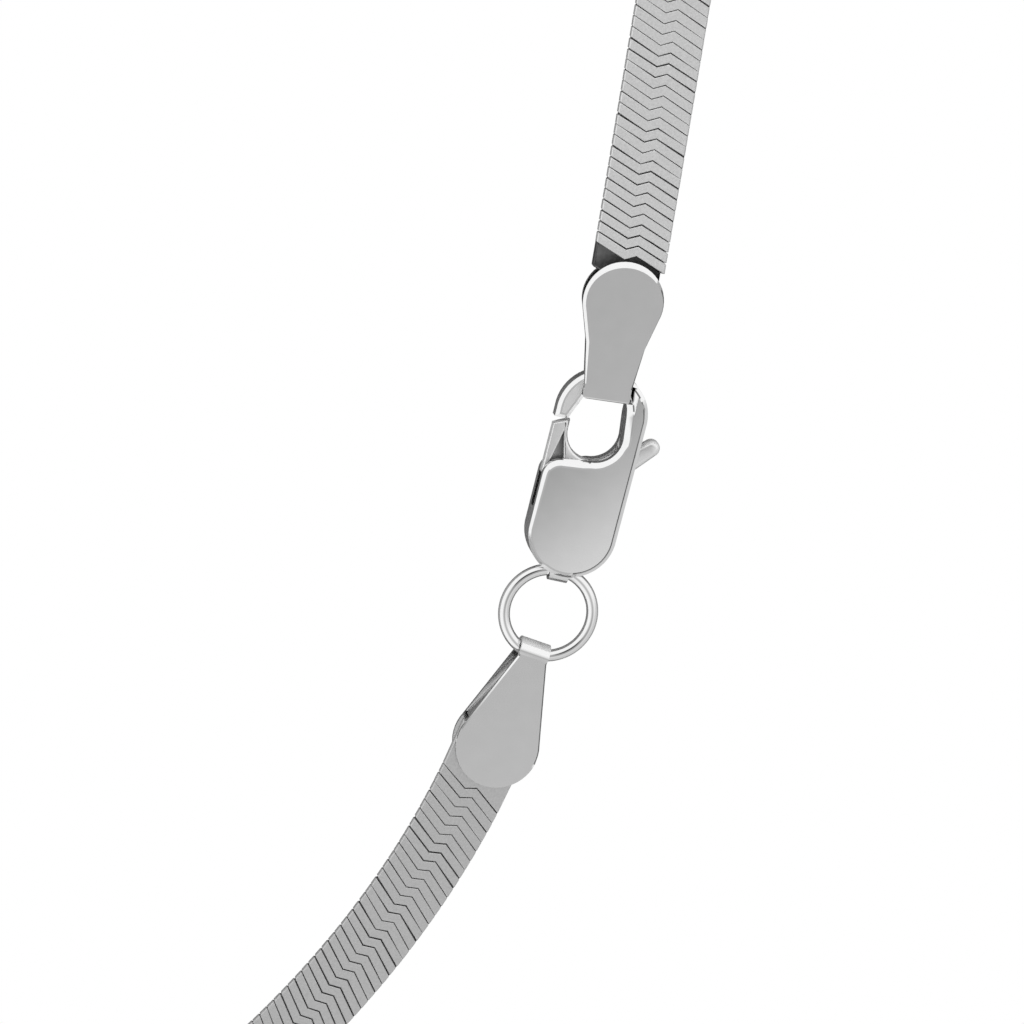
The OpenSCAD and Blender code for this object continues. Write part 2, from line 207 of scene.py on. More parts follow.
def silverMaterial(name, values):
    material, nodes, wires = newMaterial(name)
    shader = nodes["Principled BSDF"]
    shader.inputs["Metallic"].default_value = 1.0
    place = nodes.new("ShaderNodeTexCoord")
    grain = nodes.new("ShaderNodeGroup")
    grain.node_tree = silverGrain
    for socket, key in (("Scale", "grainScale"), ("Dark", "dark"), ("Light", "light"),
                        ("Rough Low", "roughLow"), ("Rough High", "roughHigh")):
        grain.inputs[socket].default_value = values[key]
    grain.inputs["Depth"].default_value = values["depth"] * mm
    wires.new(place.outputs["Object"], grain.inputs["Vector"])
    tone, height = grain.outputs["Tone"], grain.outputs["Height"]
    if "shade" in values:
        # painted shade: the base tone falls off along a line on the piece
        shade = values["shade"]
        along = nodes.new("ShaderNodeVectorMath")
        along.operation = "DOT_PRODUCT"
        along.inputs[1].default_value = shade["along"]
        wires.new(place.outputs["Object"], along.inputs[0])
        fall = nodes.new("ShaderNodeMapRange")
        fall.inputs["From Min"].default_value = shade["from"] * mm
        fall.inputs["From Max"].default_value = shade["to"] * mm
        fall.inputs["To Min"].default_value = shade["start"]
        fall.inputs["To Max"].default_value = shade["end"]
        wires.new(along.outputs["Value"], fall.inputs["Value"])
        dim = nodes.new("ShaderNodeMix")
        dim.data_type = "RGBA"
        dim.blend_type = "MULTIPLY"
        dim.inputs["Factor"].default_value = 1
        wires.new(tone, dim.inputs["A"])
        wires.new(fall.outputs["Result"], dim.inputs["B"])
        tone = dim.outputs["Result"]
    if "crown" in values:
        # a very slight dome, felt only in how the face mirrors the light
        crown = values["crown"]
        offset = nodes.new("ShaderNodeVectorMath")
        offset.operation = "SUBTRACT"
        offset.inputs[1].default_value = [v * mm for v in crown["middle"]]
        wires.new(place.outputs["Object"], offset.inputs[0])
        reach = nodes.new("ShaderNodeVectorMath")
        reach.operation = "DOT_PRODUCT"
        reach.inputs[1].default_value = Vector(crown["along"]).normalized()
        wires.new(offset.outputs["Vector"], reach.inputs[0])
        square = nodes.new("ShaderNodeMath")
        square.operation = "MULTIPLY"
        wires.new(reach.outputs["Value"], square.inputs[0])
        wires.new(reach.outputs["Value"], square.inputs[1])
        dome = nodes.new("ShaderNodeMath")
        dome.operation = "MULTIPLY_ADD"
        dome.inputs[1].default_value = -0.5 / (crown["radius"] * mm)
        wires.new(square.outputs[0], dome.inputs[0])
        wires.new(height, dome.inputs[2])
        height = dome.outputs[0]
    wires.new(tone, shader.inputs["Base Color"])
    wires.new(grain.outputs["Roughness"], shader.inputs["Roughness"])
    bump = nodes.new("ShaderNodeBump")
    bump.inputs["Strength"].default_value = 1
    bump.inputs["Distance"].default_value = 1
    wires.new(height, bump.inputs["Height"])
    wires.new(bump.outputs["Normal"], shader.inputs["Normal"])
    return material


# grain is per metre and depth in mm; a painted shade runs along a line, from and to in mm
polished = silverMaterial("polishedSilver", {
    "grainScale": 900, "depth": 0.001, "dark": 0.88, "light": 0.93,
    "roughLow": 0.08, "roughHigh": 0.14})
domed = silverMaterial("domedSilver", {
    "grainScale": 900, "depth": 0.001, "dark": 0.88, "light": 0.93,
    "roughLow": 0.1, "roughHigh": 0.16,
    "crown": {"middle": (-0.5, 2.4, 2.2), "along": (0.75, -0.66, 0), "radius": 64}})
softPolish = silverMaterial("softPolish", {
    "grainScale": 1400, "depth": 0.0015, "dark": 0.86, "light": 0.95,
    "roughLow": 0.3, "roughHigh": 0.4})
# painted shade for hollows and gaps: a darker tone that falls to near black towards one side
hollowShadeSilver = silverMaterial("hollowShadeSilver", {
    "grainScale": 2200, "depth": 0.006, "dark": 0.5, "light": 0.75,
    "roughLow": 0.35, "roughHigh": 0.5,
    "shade": {"along": (0.94, 0.34, 0), "from": -1.0, "to": 0.2, "start": 1.0, "end": 0.1}})
matteSilver = silverMaterial("matteSilver", {
    "grainScale": 1800, "depth": 0.002, "dark": 0.85, "light": 0.98,
    "roughLow": 0.6, "roughHigh": 0.75})
# a dark tone painted on as shade: for rim faces turned from the light, fold edges and the clasp's
# step
darkShadeSilver = silverMaterial("darkShadeSilver", {
    "grainScale": 2200, "depth": 0.01, "dark": 0.12, "light": 0.4,
    "roughLow": 0.4, "roughHigh": 0.6})
# painted shade: the links darken towards the chain's lower stretch, along -y
linkSilver = silverMaterial("linkSilver", {
    "grainScale": 7000, "depth": 0.005, "dark": 0.78, "light": 1.0,
    "roughLow": 0.36, "roughHigh": 0.48,
    "shade": {"along": (0, 1, 0), "from": -15, "to": 20, "start": 0.74, "end": 1.0}})
# the links' side walls: rougher, and darker by painted shade
linkEdgeShade = silverMaterial("linkEdgeShade", {
    "grainScale": 9000, "depth": 0.005, "dark": 0.55, "light": 0.75,
    "roughLow": 0.55, "roughHigh": 0.75})
# painted shade, near black, for the links' inner walls and the core that shows between them
linkInsideShade = silverMaterial("linkInsideShade", {
    "grainScale": 6000, "depth": 0.008, "dark": 0.02, "light": 0.12,
    "roughLow": 0.4, "roughHigh": 0.6})
# painted shade for the filling under the first link: dark grey falling to near black towards one
# side
underShadeSilver = silverMaterial("underShadeSilver", {
    "grainScale": 3500, "depth": 0.008, "dark": 0.14, "light": 0.28,
    "roughLow": 0.35, "roughHigh": 0.55,
    "shade": {"along": (0.94, -0.34, 0), "from": -8, "to": -4, "start": 1.0, "end": 0.05}})
print("materials done,", len(bpy.data.materials))


def finish(piece, material, body, slot, *nodes):
    if material:
        piece.data.materials.clear()
        piece.data.materials.append(material)
    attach(piece, body)
    if nodes:
        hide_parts(*nodes)
    print(piece.name, "done,", len(piece.data.polygons), "faces")


# smoothing, and copies of the solids
def solidCopy(node, name, merge=0.002, whole=True):
    # a copy of the solid with its loose triangles merged, and joined into whole faces
    pick(frame["nodes"][node])
    bpy.ops.object.duplicate()
    piece = bpy.context.object
    piece.name = name
    bpy.ops.object.mode_set(mode="EDIT")
    bpy.ops.mesh.select_all(action="SELECT")
    bpy.ops.mesh.remove_doubles(threshold=merge * mm)
    if whole:
        bpy.ops.mesh.dissolve_limited(angle_limit=math.radians(1))
    bpy.ops.object.mode_set(mode="OBJECT")
    return piece


def roundEdges(piece, width, segments, sharp=0.8):
    # width is given an edge's middle in mm and the normals of its upper and its other face,
    # and says how far the edge is rounded, in mm
    faces = {}
    for face in piece.data.polygons:
        for key in face.edge_keys:
            faces.setdefault(key, []).append(face.normal.copy())
    widths, spots = {}, piece.data.vertices
    for edge in piece.data.edges:
        normals = sorted(faces.get(edge.key, []), key=lambda n: -n.z)
        if len(normals) == 2 and normals[0].dot(normals[1]) < sharp:
            middle = (spots[edge.vertices[0]].co + spots[edge.vertices[1]].co) / 2 / mm
            widths[edge.index] = width(middle, *normals)
    most = max(widths.values())
    share = piece.data.attributes.get("bevel_weight_edge")
    share = share or piece.data.attributes.new("bevel_weight_edge", "FLOAT", "EDGE")
    for edge in piece.data.edges:
        share.data[edge.index].value = widths.get(edge.index, 0) / most
    soft = piece.modifiers.new("soft", "BEVEL")
    soft.width = most * mm
    soft.segments = segments
    soft.limit_method = "WEIGHT"
    soft.use_clamp_overlap = False
    soft.loop_slide = False
    applyAll(piece)
    rounded = sum(1 for w in widths.values() if w)
    print(" ", piece.name, rounded, "edges rounded, up to", most, "mm")


def smoothFaces(piece, angle=30, soften=None):
    # soften is given an edge's two points and its middle in mm, and says if it stays smooth
    pick(piece)
    bpy.ops.object.shade_smooth_by_angle(angle=math.radians(angle))
    if soften:
        crease = piece.data.attributes["sharp_edge"].data
        for line in piece.data.edges:
            ends = [piece.data.vertices[i].co / mm for i in line.vertices]
            if soften(line.vertices, (ends[0] + ends[1]) / 2):
                crease[line.index].value = False
    even = piece.modifiers.new("even", "WEIGHTED_NORMAL")
    even.keep_sharp = True
    even.weight = 100
    applyAll(piece)


def insetFaces(piece, thickness):
    # insets the selected faces, and gives the points outside and inside the new strip
    bpy.ops.object.mode_set(mode="EDIT")
    bpy.ops.mesh.inset(thickness=thickness * mm, depth=0, use_even_offset=True)
    bpy.ops.object.mode_set(mode="OBJECT")
    inside = {i for face in piece.data.polygons if face.select for i in face.vertices}
    outside = set()
    for face in piece.data.polygons:
        around = set(face.vertices)
        if not face.select and len(around) == 4 and len(inside & around) == 2:
            outside |= around - inside
    return outside, inside


# where the chain runs, the same as the solid band: straight, bend, straight, bend
route = {"start": (-0.5189, 15.8447), "turn": 4.5, "run": 23, "backBend": 56,
         "backSweep": 156.136, "backRun": 39.0557, "frontBend": 63.3, "frontSweep": 190.764,
         "lift": 0.45, "level": 2.88, "settle": 24, "step": 1.2}

link = {"pitch": 0.72066, "gap": 0.075, "width": 4.92, "thick": 1.3, "wire": 0.42,
        "armSlope": 25, "stepSlope": 23, "stepWidth": 0.76,  # the zigzag line across the chain
        "edge": 0.07, "leanFrom": 0.2, "lean": 0.3, "bevel": 0.03, "sideFrom": 0.3,
        "group": 37, "groups": 16, "count": 580, "firstAt": 3.1, "plainEnd": 3.5, "spare": 0.6,
        "seed": 7, "snug": (-0.06, 0.055), "skew": 0.35, "sink": 0.012}  # how much links differ


def lineShift(u):
    # how far a link's line runs along the chain at u across it
    half = link["stepWidth"] / 2
    rise = half * math.tan(math.radians(link["stepSlope"]))
    if abs(u) < half:
        return u / half * rise
    arm = (abs(u) - half) * math.tan(math.radians(link["armSlope"]))
    return (rise - arm) * (1 if u > 0 else -1)


def linkColumns():
    # the loop of one link round the chain: across it, and height; the sides lean in below
    halfW, halfT, half = link["width"] / 2, link["thick"] / 2, link["stepWidth"] / 2
    edge = link["edge"]
    side = [(halfW, halfT - edge), (halfW, link["leanFrom"]), (halfW - link["lean"], -halfT)]
    over = [(edge - halfW, halfT), (-half, halfT), (half, halfT), (halfW - edge, halfT)]
    under = [(half, -halfT), (-half, -halfT)]
    left = [(-u, z) for u, z in reversed(side)]
    return [(u, z, lineShift(u)) for u, z in over + side + under + left]


def makeLink(name, length=link["pitch"]):
    columns = linkColumns()
    size = (length - link["gap"]) * mm
    u, z, shift = columns[0]
    clearSelection()
    bpy.ops.mesh.primitive_plane_add(size=size,
                                     location=(shift * mm, -u * mm - size / 2, z * mm))
    piece = bpy.context.object
    piece.name = name
    placeInMesh(piece)
    # the plane's far edge goes to the second place, and is drawn on place by place to the start
    far = -u * mm - size
    selectEdges(piece, lambda a, b: abs(a.y - far) + abs(b.y - far) < hair * mm)
    hereU, hereZ, hereShift = u + size / mm, z, shift
    for i, (u, z, shift) in enumerate(columns[1:] + columns[:1]):
        move = ((shift - hereShift) * mm, (hereU - u) * mm, (z - hereZ) * mm)
        if i == 0:
            bpy.ops.transform.translate(value=move)
        else:
            bpy.ops.mesh.extrude_region_move(TRANSFORM_OT_translate={"value": move})
        hereU, hereZ, hereShift = u, z, shift
    bpy.ops.mesh.select_all(action="SELECT")
    bpy.ops.mesh.remove_doubles(threshold=hair * mm)
    bpy.ops.mesh.normals_make_consistent(inside=False)
    bpy.ops.object.mode_set(mode="OBJECT")
    rims = rimKeys(piece)
    wall = piece.modifiers.new("wall", "SOLIDIFY")
    wall.thickness = link["wire"] * mm
    wall.offset = -1
    wall.use_even_offset = True
    # the next finish is the near black painted shade of the links' insides
    wall.material_offset = 1  # the inner wall takes the next finish
    for material in (linkSilver, linkInsideShade, linkEdgeShade, linkInsideShade):
        piece.data.materials.append(material)
    for face in piece.data.polygons:
        face.material_index = 2 if abs(face.normal.y) > link["sideFrom"] else 0
    applyAll(piece)
    clearPoints(piece)
    for edge in piece.data.edges:
        edge.select = edge.key in rims
    bpy.ops.object.mode_set(mode="EDIT")
    bpy.ops.mesh.bevel(offset=link["bevel"] * mm, segments=1)
    bpy.ops.object.mode_set(mode="OBJECT")
    return piece


def makeRoute():
    x, y = route["start"]
    heading = math.radians(90 + route["turn"])
    stretches = [(route["run"], 0),
                 (route["backBend"] * math.radians(route["backSweep"]), route["backBend"]),
                 (route["backRun"], 0),
                 (route["frontBend"] * math.radians(route["frontSweep"]), route["frontBend"])]
    total = sum(length for length, radius in stretches)
    points, gone = [(x, y, 0.0)], 0.0
    for length, radius in stretches:
        count = math.ceil(length / route["step"])
        bit = length / count
        half = bit / radius / 2 if radius else 0
        chord = 2 * radius * math.sin(half) if radius else bit
        for i in range(count):
            heading += half
            x, y = x + chord * math.cos(heading), y + chord * math.sin(heading)
            gone += bit
            heading += half
            points.append((x, y, gone))
    path = bpy.data.curves.new("chainRoute", "CURVE")
    path.dimensions = "3D"
    path.twist_mode = "Z_UP"
    spline = path.splines.new("POLY")
    spline.points.add(len(points) - 1)
    for point, (x, y, s) in zip(spline.points, points):
        # it settles softly from the caps' height to the surface
        far = 1 - (min(s, total - s) - route["level"]) / route["settle"]
        far = max(0, min(1, far))
        z = route["lift"] * far * far * (3 - 2 * far) + link["thick"] / 2
        point.co = (x * mm, y * mm, z * mm, 1)
    line = bpy.data.objects.new("chainRoute", path)
    bpy.context.collection.objects.link(line)
    print("route", round(total, 2), "mm, ends at", [round(v, 3) for v in points[-1][:2]])
    return line


def makeUnder():
    # the filling that shows between the first link and the upper cap: the chain's back layer, its
    # darkness painted shade
    values = {"width": 4.55, "across": 0.06, "low": 0.03, "high": 0.86, "from": 0.4, "to": 4.1,
              "slant": 1.67, "soft": 0.12, "dip": 0.06, "flat": 0.9, "round": 0.05}
    clearSelection()
    bpy.ops.mesh.primitive_cube_add(size=1, scale=(values["width"] * mm,
                                                   (values["to"] - values["from"]) * mm,
                                                   (values["high"] - values["low"]) * mm))
    under = bpy.context.object
    under.name = "chainUnder"
    placeInMesh(under)
    clearPoints(under)
    for v in under.data.vertices:
        v.select = v.co.x < 0 and v.co.y < 0
    bpy.ops.object.mode_set(mode="EDIT")
    bpy.ops.transform.translate(value=(0, values["slant"] * mm, 0))
    clearPoints(under)
    for face in under.data.polygons:
        face.select = face.normal.z > values["flat"]
    bpy.ops.object.mode_set(mode="EDIT")
    bpy.ops.mesh.inset(thickness=values["soft"] * mm, depth=-values["dip"] * mm)
    bpy.ops.mesh.select_all(action="SELECT")
    bpy.ops.mesh.bevel(offset=values["round"] * mm, segments=2)
    bpy.ops.object.mode_set(mode="OBJECT")
    placeAlong(under, route["start"], route["turn"],
               (values["across"], (values["from"] + values["to"]) / 2,
                (values["low"] + values["high"]) / 2))
    return under


def makeTongue(cap):
    # the chain's lower end is drawn narrow inside the folded cap
    values = {"low": 0.5, "high": 1.72, "from": 1.75, "to": 5.5, "fromHalf": 0.9,
              "toHalf": 2.2, "lean": 1.7, "fromAcross": 0.25, "soft": 0.2}
    clearSelection()
    long = values["to"] - values["from"]
    bpy.ops.mesh.primitive_cube_add(size=1, scale=(2 * values["fromHalf"] * mm, long * mm,
                                                   (values["high"] - values["low"]) * mm))
    tongue = bpy.context.object
    tongue.name = "chainTongue"
    placeInMesh(tongue)
    clearPoints(tongue)
    for v in tongue.data.vertices:
        v.select = v.co.y > 0
    bpy.ops.object.mode_set(mode="EDIT")
    bpy.ops.transform.resize(value=(values["toHalf"] / values["fromHalf"], 1, 1),
                             center_override=(0, 0, 0))
    bpy.ops.transform.translate(value=(values["lean"] * mm, 0, 0))
    bpy.ops.mesh.select_all(action="SELECT")
    bpy.ops.mesh.bevel(offset=values["soft"] * mm, segments=3)
    bpy.ops.object.mode_set(mode="OBJECT")
    smoothFaces(tongue)
    placeAlong(tongue, cap["at"], cap["turn"],
               (values["fromAcross"], (values["from"] + values["to"]) / 2,
                (values["low"] + values["high"]) / 2))
    return tongue


def makeCore():
    # the links' inner turns, close together, close the band under the lines; its near black is
    # painted shade
    values = {"width": 4.89, "under": 0.88, "thick": 1.0, "steps": 208, "from": 1.7,
              "short": 2.4, "merge": 0.01, "endOn": 0.9}
    length = (link["count"] * link["pitch"] - values["short"]) / values["steps"]
    clearSelection()
    bpy.ops.mesh.primitive_cube_add(size=1, scale=(length * mm, values["width"] * mm,
                                                   values["thick"] * mm))
    core = bpy.context.object
    placeInMesh(core)
    core.data.materials.append(linkInsideShade)
    clearPoints(core)
    for v in core.data.vertices:
        v.select = v.co.z < 0
    bpy.ops.object.mode_set(mode="EDIT")
    bpy.ops.transform.resize(value=(1, values["under"], 1), center_override=(0, 0, 0))
    clearPoints(core)
    for face in core.data.polygons:
        face.select = abs(face.normal.x) > values["endOn"]
    bpy.ops.object.mode_set(mode="EDIT")
    bpy.ops.mesh.delete(type="ONLY_FACE")
    bpy.ops.mesh.select_all(action="SELECT")
    start = link["firstAt"] + values["from"] + length / 2
    bpy.ops.transform.translate(value=(start * mm, 0, 0))
    bpy.ops.object.mode_set(mode="OBJECT")
    row = core.modifiers.new("row", "ARRAY")
    row.use_relative_offset = False
    row.use_constant_offset = True
    row.constant_offset_displace = (length * mm, 0, 0)
    row.count = values["steps"]
    row.use_merge_vertices = True
    row.merge_threshold = values["merge"] * mm
    applyAll(core)
    bpy.ops.object.mode_set(mode="EDIT")
    bpy.ops.mesh.select_all(action="SELECT")
    bpy.ops.mesh.fill_holes(sides=4)  # the two open ends
    bpy.ops.mesh.select_all(action="SELECT")
    bpy.ops.mesh.normals_make_consistent(inside=False)
    bpy.ops.object.mode_set(mode="OBJECT")
    return core


def makeChain():
    path = makeRoute()
    chance = random.Random(link["seed"])
    first = makeLink("chainLinks")
    copies = []
    for i in range(link["group"]):
        # the links of a group differ a little in length, turn and height
        copy = copyPiece(first)
        pick(copy)
        snug = 1 + chance.uniform(*link["snug"])
        bpy.ops.object.mode_set(mode="EDIT")
        bpy.ops.mesh.select_all(action="SELECT")
        bpy.ops.transform.rotate(value=math.radians(chance.uniform(-link["skew"], link["skew"])),
                                 orient_axis="Z", center_override=(0, 0, 0))
        bpy.ops.transform.resize(value=(snug, 1, 1), center_override=(0, 0, 0))
        bpy.ops.transform.translate(value=(i * link["pitch"] * mm, 0,
                                           chance.uniform(-link["sink"], 0.0) * mm))
        bpy.ops.object.mode_set(mode="OBJECT")
        copies.append(copy)
    pick(first)
    bpy.ops.object.delete()
    chain = joinPieces(copies, "chainLinks")
    row = chain.modifiers.new("row", "ARRAY")
    row.use_relative_offset = False
    row.use_constant_offset = True
    row.constant_offset_displace = (link["group"] * link["pitch"] * mm, 0, 0)
    row.count = link["groups"]
    applyAll(chain)
    # the first whole link starts at the zigzag, and a plain end goes into the lower cap
    bpy.ops.object.mode_set(mode="EDIT")
    bpy.ops.mesh.select_all(action="SELECT")
    bpy.ops.transform.translate(value=((link["firstAt"] + link["pitch"] / 2) * mm, 0, 0))
    clearPoints(chain)
    last = link["firstAt"] + (link["count"] + 0.5) * link["pitch"] + link["spare"]
    for v in chain.data.vertices:
        v.select = v.co.x > last * mm
    bpy.ops.object.mode_set(mode="EDIT")
    bpy.ops.mesh.select_linked()
    bpy.ops.mesh.delete(type="VERT")
    bpy.ops.object.mode_set(mode="OBJECT")
    end = makeLink("chainEnd", link["plainEnd"])
    pick(end)
    bpy.ops.object.mode_set(mode="EDIT")
    bpy.ops.mesh.select_all(action="SELECT")
    endAt = link["firstAt"] + link["count"] * link["pitch"] + link["plainEnd"] / 2
    bpy.ops.transform.translate(value=(endAt * mm, 0, 0))
    bpy.ops.object.mode_set(mode="OBJECT")
    chain = joinPieces([chain, end, makeCore()], "chainLinks")
    bend = chain.modifiers.new("bend", "CURVE")
    bend.object = path
    bend.deform_axis = "POS_X"
    applyAll(chain)
    bpy.ops.object.shade_flat()
    pick(path)
    bpy.ops.object.delete()
    return chain


# grow scales the face beyond a line: where it starts, the fixed point across it, the two sizes
capUpper = {"at": (-0.07, 9.26), "turn": 3.9, "headAt": 6.76, "square": 0.08, "rim": 0.08,
            "drop": 0.2, "rimTo": 20, "foldLine": 0.02, "darkFold": False,
            "grow": ((3.7, 2.64, (0.98, 1)), (6.76, 0, (1, 0.89)))}
capLower = {"at": (-0.405, -7.857), "turn": 187.6, "headAt": 7.55, "square": 1, "rim": 0.1,
            "drop": 0.1, "rimTo": 5.6, "foldLine": 0.07, "darkFold": True, "grow": ()}

# what both caps share: the fold's barrel, how the face is found, and where each finish and each
# painted shade starts
capSheet = {"barrel": 1, "foldTo": 0.98, "flat": 0.99, "topNear": 0.02, "corners": 8,
            "outlineEnd": 0.05, "innerEnd": 0.1, "leftMore": 2.5,
            "tilted": 0.2, "awayFrom": 0.25, "darkFoldTo": 0.2,
            "matteTo": 0.5, "matteSlope": 0.7, "smooth": 15,
            "pressTo": 0.2, "pressAbove": 0.3, "pressSlope": 0.97}


def makeCap(node, name, shape):
    cap = solidCopy(node, name)
    top = max(v.co.z for v in cap.data.vertices) / mm
    base = Vector(shape["at"])
    turn = math.radians(shape["turn"])
    across = Vector((math.cos(turn), math.sin(turn)))
    along = Vector((-math.sin(turn), math.cos(turn)))
    middle = top - capSheet["barrel"]
    squared = shape["square"] < 1

    def local(spot):
        flat = (spot / mm).xy - base
        return flat.dot(across), flat.dot(along), spot.z / mm - middle

    def alongAt(i):
        return local(cap.data.vertices[i].co)[1]

    # the upper cap's fold is pressed squarer, line by line
    lines = {}
    for v in cap.data.vertices:
        x, y, z = local(v.co)
        if squared and y < capSheet["foldTo"]:
            key = round(y - capSheet["barrel"], 2), round(z, 2)
            lines.setdefault(key, []).append(v.index)
    for (y, z), indices in lines.items():
        reach = math.hypot(y, z)
        squareY = -reach * (abs(y) / reach) ** shape["square"]
        squareZ = math.copysign(reach * (abs(z) / reach) ** shape["square"], z)
        step = along * (squareY - y)
        movePoints(cap, indices, (step.x, step.y, squareZ - z))
    # a rim round the top: the face is inset, and the outline goes down
    clearPoints(cap)
    for face in cap.data.polygons:
        onTop = abs(face.center.z / mm - top) < capSheet["topNear"]
        face.select = (onTop and face.normal.z > capSheet["flat"]
                       and len(face.vertices) > capSheet["corners"])
    outline, inner = insetFaces(cap, shape["rim"])
    low = min(alongAt(i) for i in outline)
    strip = [face.index for face in cap.data.polygons if len(outline & set(face.vertices)) == 2
             and len(inner & set(face.vertices)) == 2]
    outline = [i for i in outline if alongAt(i) > low + capSheet["outlineEnd"]]
    print("  rim of", len(outline), "points, face of", len(inner))
    ends = [i for i in inner if alongAt(i) < low + shape["rim"] + capSheet["innerEnd"]]
    sinking = []
    for i in outline:
        x, y, z = local(cap.data.vertices[i].co)
        if y < shape["rimTo"] + (capSheet["leftMore"] if x < 0 else 0):
            sinking.append(i)
    movePoints(cap, sinking, (0, 0, -shape["drop"]))
    movePoints(cap, ends, (along * (shape["foldLine"] - shape["rim"])).to_3d())
    centre = base + along * shape["headAt"]
    for start, offset, sizes in shape["grow"]:
        anchor = centre + across * offset
        clearPoints(cap)
        for i in inner:
            cap.data.vertices[i].select = alongAt(i) > start
        bpy.ops.object.mode_set(mode="EDIT")
        bpy.ops.transform.resize(value=(*sizes, 1), orient_type="GLOBAL",
                                 orient_matrix=((across.x, across.y, 0),
                                                (along.x, along.y, 0), (0, 0, 1)),
                                 orient_matrix_type="GLOBAL",
                                 center_override=(anchor.x * mm, anchor.y * mm, top * mm))
        bpy.ops.object.mode_set(mode="OBJECT")
    cap.data.materials.clear()
    for material in (polished, darkShadeSilver, matteSilver):
        cap.data.materials.append(material)
    for face in cap.data.polygons:
        face.material_index = 0
    for i in strip:
        # painted shade: dark where the rim turns from the light, and in the crease where a fold
        # line shows
        face = cap.data.polygons[i]
        flat = face.normal.xy
        away = (flat.length > capSheet["tilted"]
                and flat.normalized().dot(Vector(dimSide)) > capSheet["awayFrom"])
        folded = shape["darkFold"] and local(face.center)[1] < low + capSheet["darkFoldTo"]
        face.material_index = 1 if away or folded else 0
    # the round fold's far side is matte, and the pressed fold has a dark edge of painted shade
    for face in cap.data.polygons:
        x, y, z = local(face.center)
        if squared:
            pressed = y < capSheet["pressTo"] and z > capSheet["pressAbove"]
            if pressed and face.normal.z < capSheet["pressSlope"]:
                face.material_index = 1
        elif y < capSheet["matteTo"] and abs(face.normal.z) < capSheet["matteSlope"]:
            face.material_index = 2
    smoothFaces(cap, capSheet["smooth"])
    return cap


# nudge moves a top corner, and widen moves the rim's inner lines between two corners
clasp = {"plateTop": 2.2, "hookTop": 1.67, "hookNear": 0.1, "merge": 0.012,
         "slope": 0.6, "above": 1.6, "area": 0.5, "rim": 0.24, "drop": 0.18, "step": 0.12,
         "stepDrop": 0.2, "farDrop": 0.12, "dropGain": 2, "dropLevels": 4, "stepSlope": 0.8,
         "hookFrom": 7.3, "hookTo": 1, "tailFrom": -2, "tailTo": 0.7,
         "smooth": 20, "softFrom": (1.2, 8.3),
         "nudge": ({"at": (-0.09, 4.78), "above": 2.15, "reach": 0.05, "move": (-0.4, 0.12)},
                   {"at": (-1.77, 9.81), "above": 0, "reach": 0.06, "move": (0.33, -0.12)}),
         "widen": ({"low": (-5, 4), "high": (1, 5.3), "move": (0, -0.11)},
                   {"low": (0.8, 5), "high": (2.2, 6.4), "move": (0.05, -0.05)},
                   {"low": (1.2, 6.4), "high": (2.4, 9.5), "move": (0.15, 0)},
                   {"low": (-5, -5), "high": (-1.4, 0.5), "move": (-0.08, -0.03)})}


